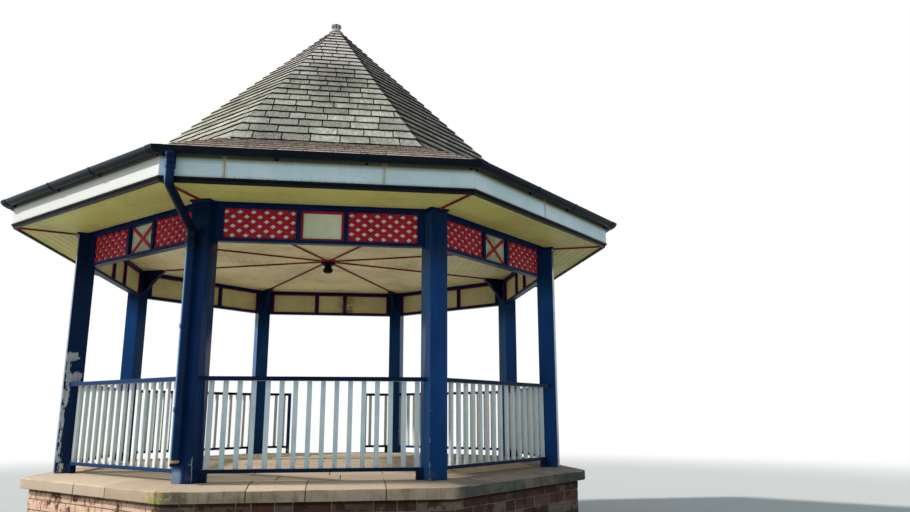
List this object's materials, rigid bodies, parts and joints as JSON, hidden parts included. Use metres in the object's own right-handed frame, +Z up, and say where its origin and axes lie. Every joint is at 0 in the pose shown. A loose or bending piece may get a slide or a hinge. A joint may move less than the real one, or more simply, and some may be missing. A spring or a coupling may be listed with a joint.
{
  "type": "bandstand",
  "caption": "Octagonal open bandstand: posts on a stone platform carry a bellcast slate roof, with slatted balustrades and a lattice frieze.",
  "frame": {"origin": "centre of the octagon at ground level, under the middle of the platform", "axes": "+Z up; the front bay faces -Y and the entrance gap is in the back bay, facing +Y; +X is to the right seen from the front"},
  "size_m": [7.5818, 7.5818, 7.4938],
  "materials": {
    "base_stone": "coursed red sandstone, weathered",
    "rubble_fill": "packed rubble, hidden",
    "paving_stone": "worn sandstone paving",
    "coping_stone": "dressed buff sandstone, weathered",
    "navy_paint": "navy gloss paint on timber, worn through to grey in places",
    "balustrade_paint": "off-white paint on the slats, navy paint on both rails and the feet",
    "cream_paint": "cream paint on boards",
    "crimson_paint": "crimson paint on timber",
    "dark_paint": "navy-black paint on timber",
    "white_paint": "white paint on boards, rust stained at the joints",
    "bare_timber": "unpainted softwood, hidden",
    "roof_slate": "weathered grey-green slates in diminishing courses",
    "lead": "dull grey metal cap",
    "black_iron": "near-black painted cast iron",
    "navy_iron": "navy painted cast iron"
  },
  "bodies": {
    "root": {"balustrade_back_left": "balustrade_paint", "balustrade_back_returns": "balustrade_paint", "balustrade_back_right": "balustrade_paint", "balustrade_front": "balustrade_paint", "balustrade_front_left": "balustrade_paint", "balustrade_front_right": "balustrade_paint", "balustrade_left": "balustrade_paint", "balustrade_right": "balustrade_paint", "base_wall": "base_stone", "ceiling": "cream_paint", "ceiling_ribs": "crimson_paint", "ceiling_ring": "crimson_paint", "centre_pendant": "dark_paint", "coping": "coping_stone", "downpipe": "navy_iron", "eaves_skirt": "roof_slate", "entrance_newels": "navy_paint", "fascia": "white_paint", "fascia_trim": "dark_paint", "finial": "lead", "frieze_boards": "cream_paint", "frieze_centre_borders": "crimson_paint", "frieze_centre_crosses": "crimson_paint", "frieze_frames": "navy_paint", "frieze_lattice_front": "crimson_paint", "frieze_lattice_rear": "crimson_paint", "gutter": "black_iron", "gutter_brackets": "black_iron", "gutter_corners": "black_iron", "hip_frames": "bare_timber", "king_post": "bare_timber", "platform_fill": "rubble_fill", "platform_floor": "paving_stone", "post_back_left": "navy_paint", "post_back_right": "navy_paint", "post_brackets": "navy_paint", "post_caps": "navy_paint", "post_front_left": "navy_paint", "post_front_right": "navy_paint", "post_left_back": "navy_paint", "post_left_front": "navy_paint", "post_right_back": "navy_paint", "post_right_front": "navy_paint", "ring_beam": "navy_paint", "roof_slopes": "roof_slate", "soffit": "cream_paint"}
  },
  "joints": []
}
